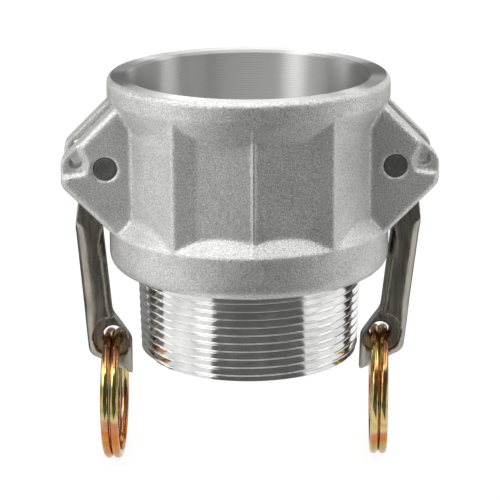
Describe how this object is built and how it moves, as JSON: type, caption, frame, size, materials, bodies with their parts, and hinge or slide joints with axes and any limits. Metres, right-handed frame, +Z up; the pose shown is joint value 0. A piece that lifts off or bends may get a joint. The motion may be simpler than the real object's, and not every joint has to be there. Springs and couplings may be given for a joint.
{
  "type": "cam and groove coupler",
  "caption": "Cast cam and groove coupler: socket with lever cam arms, pull rings and a flat seal over a male tapered pipe thread.",
  "frame": {"origin": "centre of the pipe thread's flat end face", "axes": "+Z up the flow axis to the socket mouth, the two ears and cam arms on -X (left) and +X (right), pivot pins along Y, front at -Y"},
  "size_m": [0.0992, 0.0752, 0.1072],
  "materials": {
    "cast_aluminium": "die cast and blasted, machined bright in the socket and on the thread",
    "nitrile_rubber": "matt moulded rubber",
    "steel_pin": "dull cut pin ends",
    "stainless_arm": "satin cast stainless steel with a brown cast",
    "yellow_zinc_wire": "spring wire with glossy yellow zinc plating"
  },
  "bodies": {
    "coupler": {"coupler_body": "cast_aluminium", "socket_seal": "nitrile_rubber", "left_pivot_pin": "steel_pin", "right_pivot_pin": "steel_pin"},
    "left_arm": {"left_cam_arm": "stainless_arm"},
    "right_arm": {"right_cam_arm": "stainless_arm"},
    "left_ring": {"left_finger_ring": "yellow_zinc_wire"},
    "right_ring": {"right_finger_ring": "yellow_zinc_wire"}
  },
  "joints": [
    {"name": "left_arm_pivot", "type": "hinge", "parent": "coupler", "child": "left_arm", "pos_m": [-0.03795, 0, 0.0538], "axis": [0, 1, 0], "range_deg": [0, 115]},
    {"name": "right_arm_pivot", "type": "hinge", "parent": "coupler", "child": "right_arm", "pos_m": [0.03795, 0, 0.0538], "axis": [0, -1, 0], "range_deg": [0, 115]},
    {"name": "left_ring_swing", "type": "hinge", "parent": "left_arm", "child": "left_ring", "pos_m": [-0.0371, 0, 0.00415], "axis": [0, 1, 0], "range_deg": [-40, 120]},
    {"name": "right_ring_swing", "type": "hinge", "parent": "right_arm", "child": "right_ring", "pos_m": [0.03563, 0, 0.0042], "axis": [0, -1, 0], "range_deg": [-40, 120]}
  ]
}
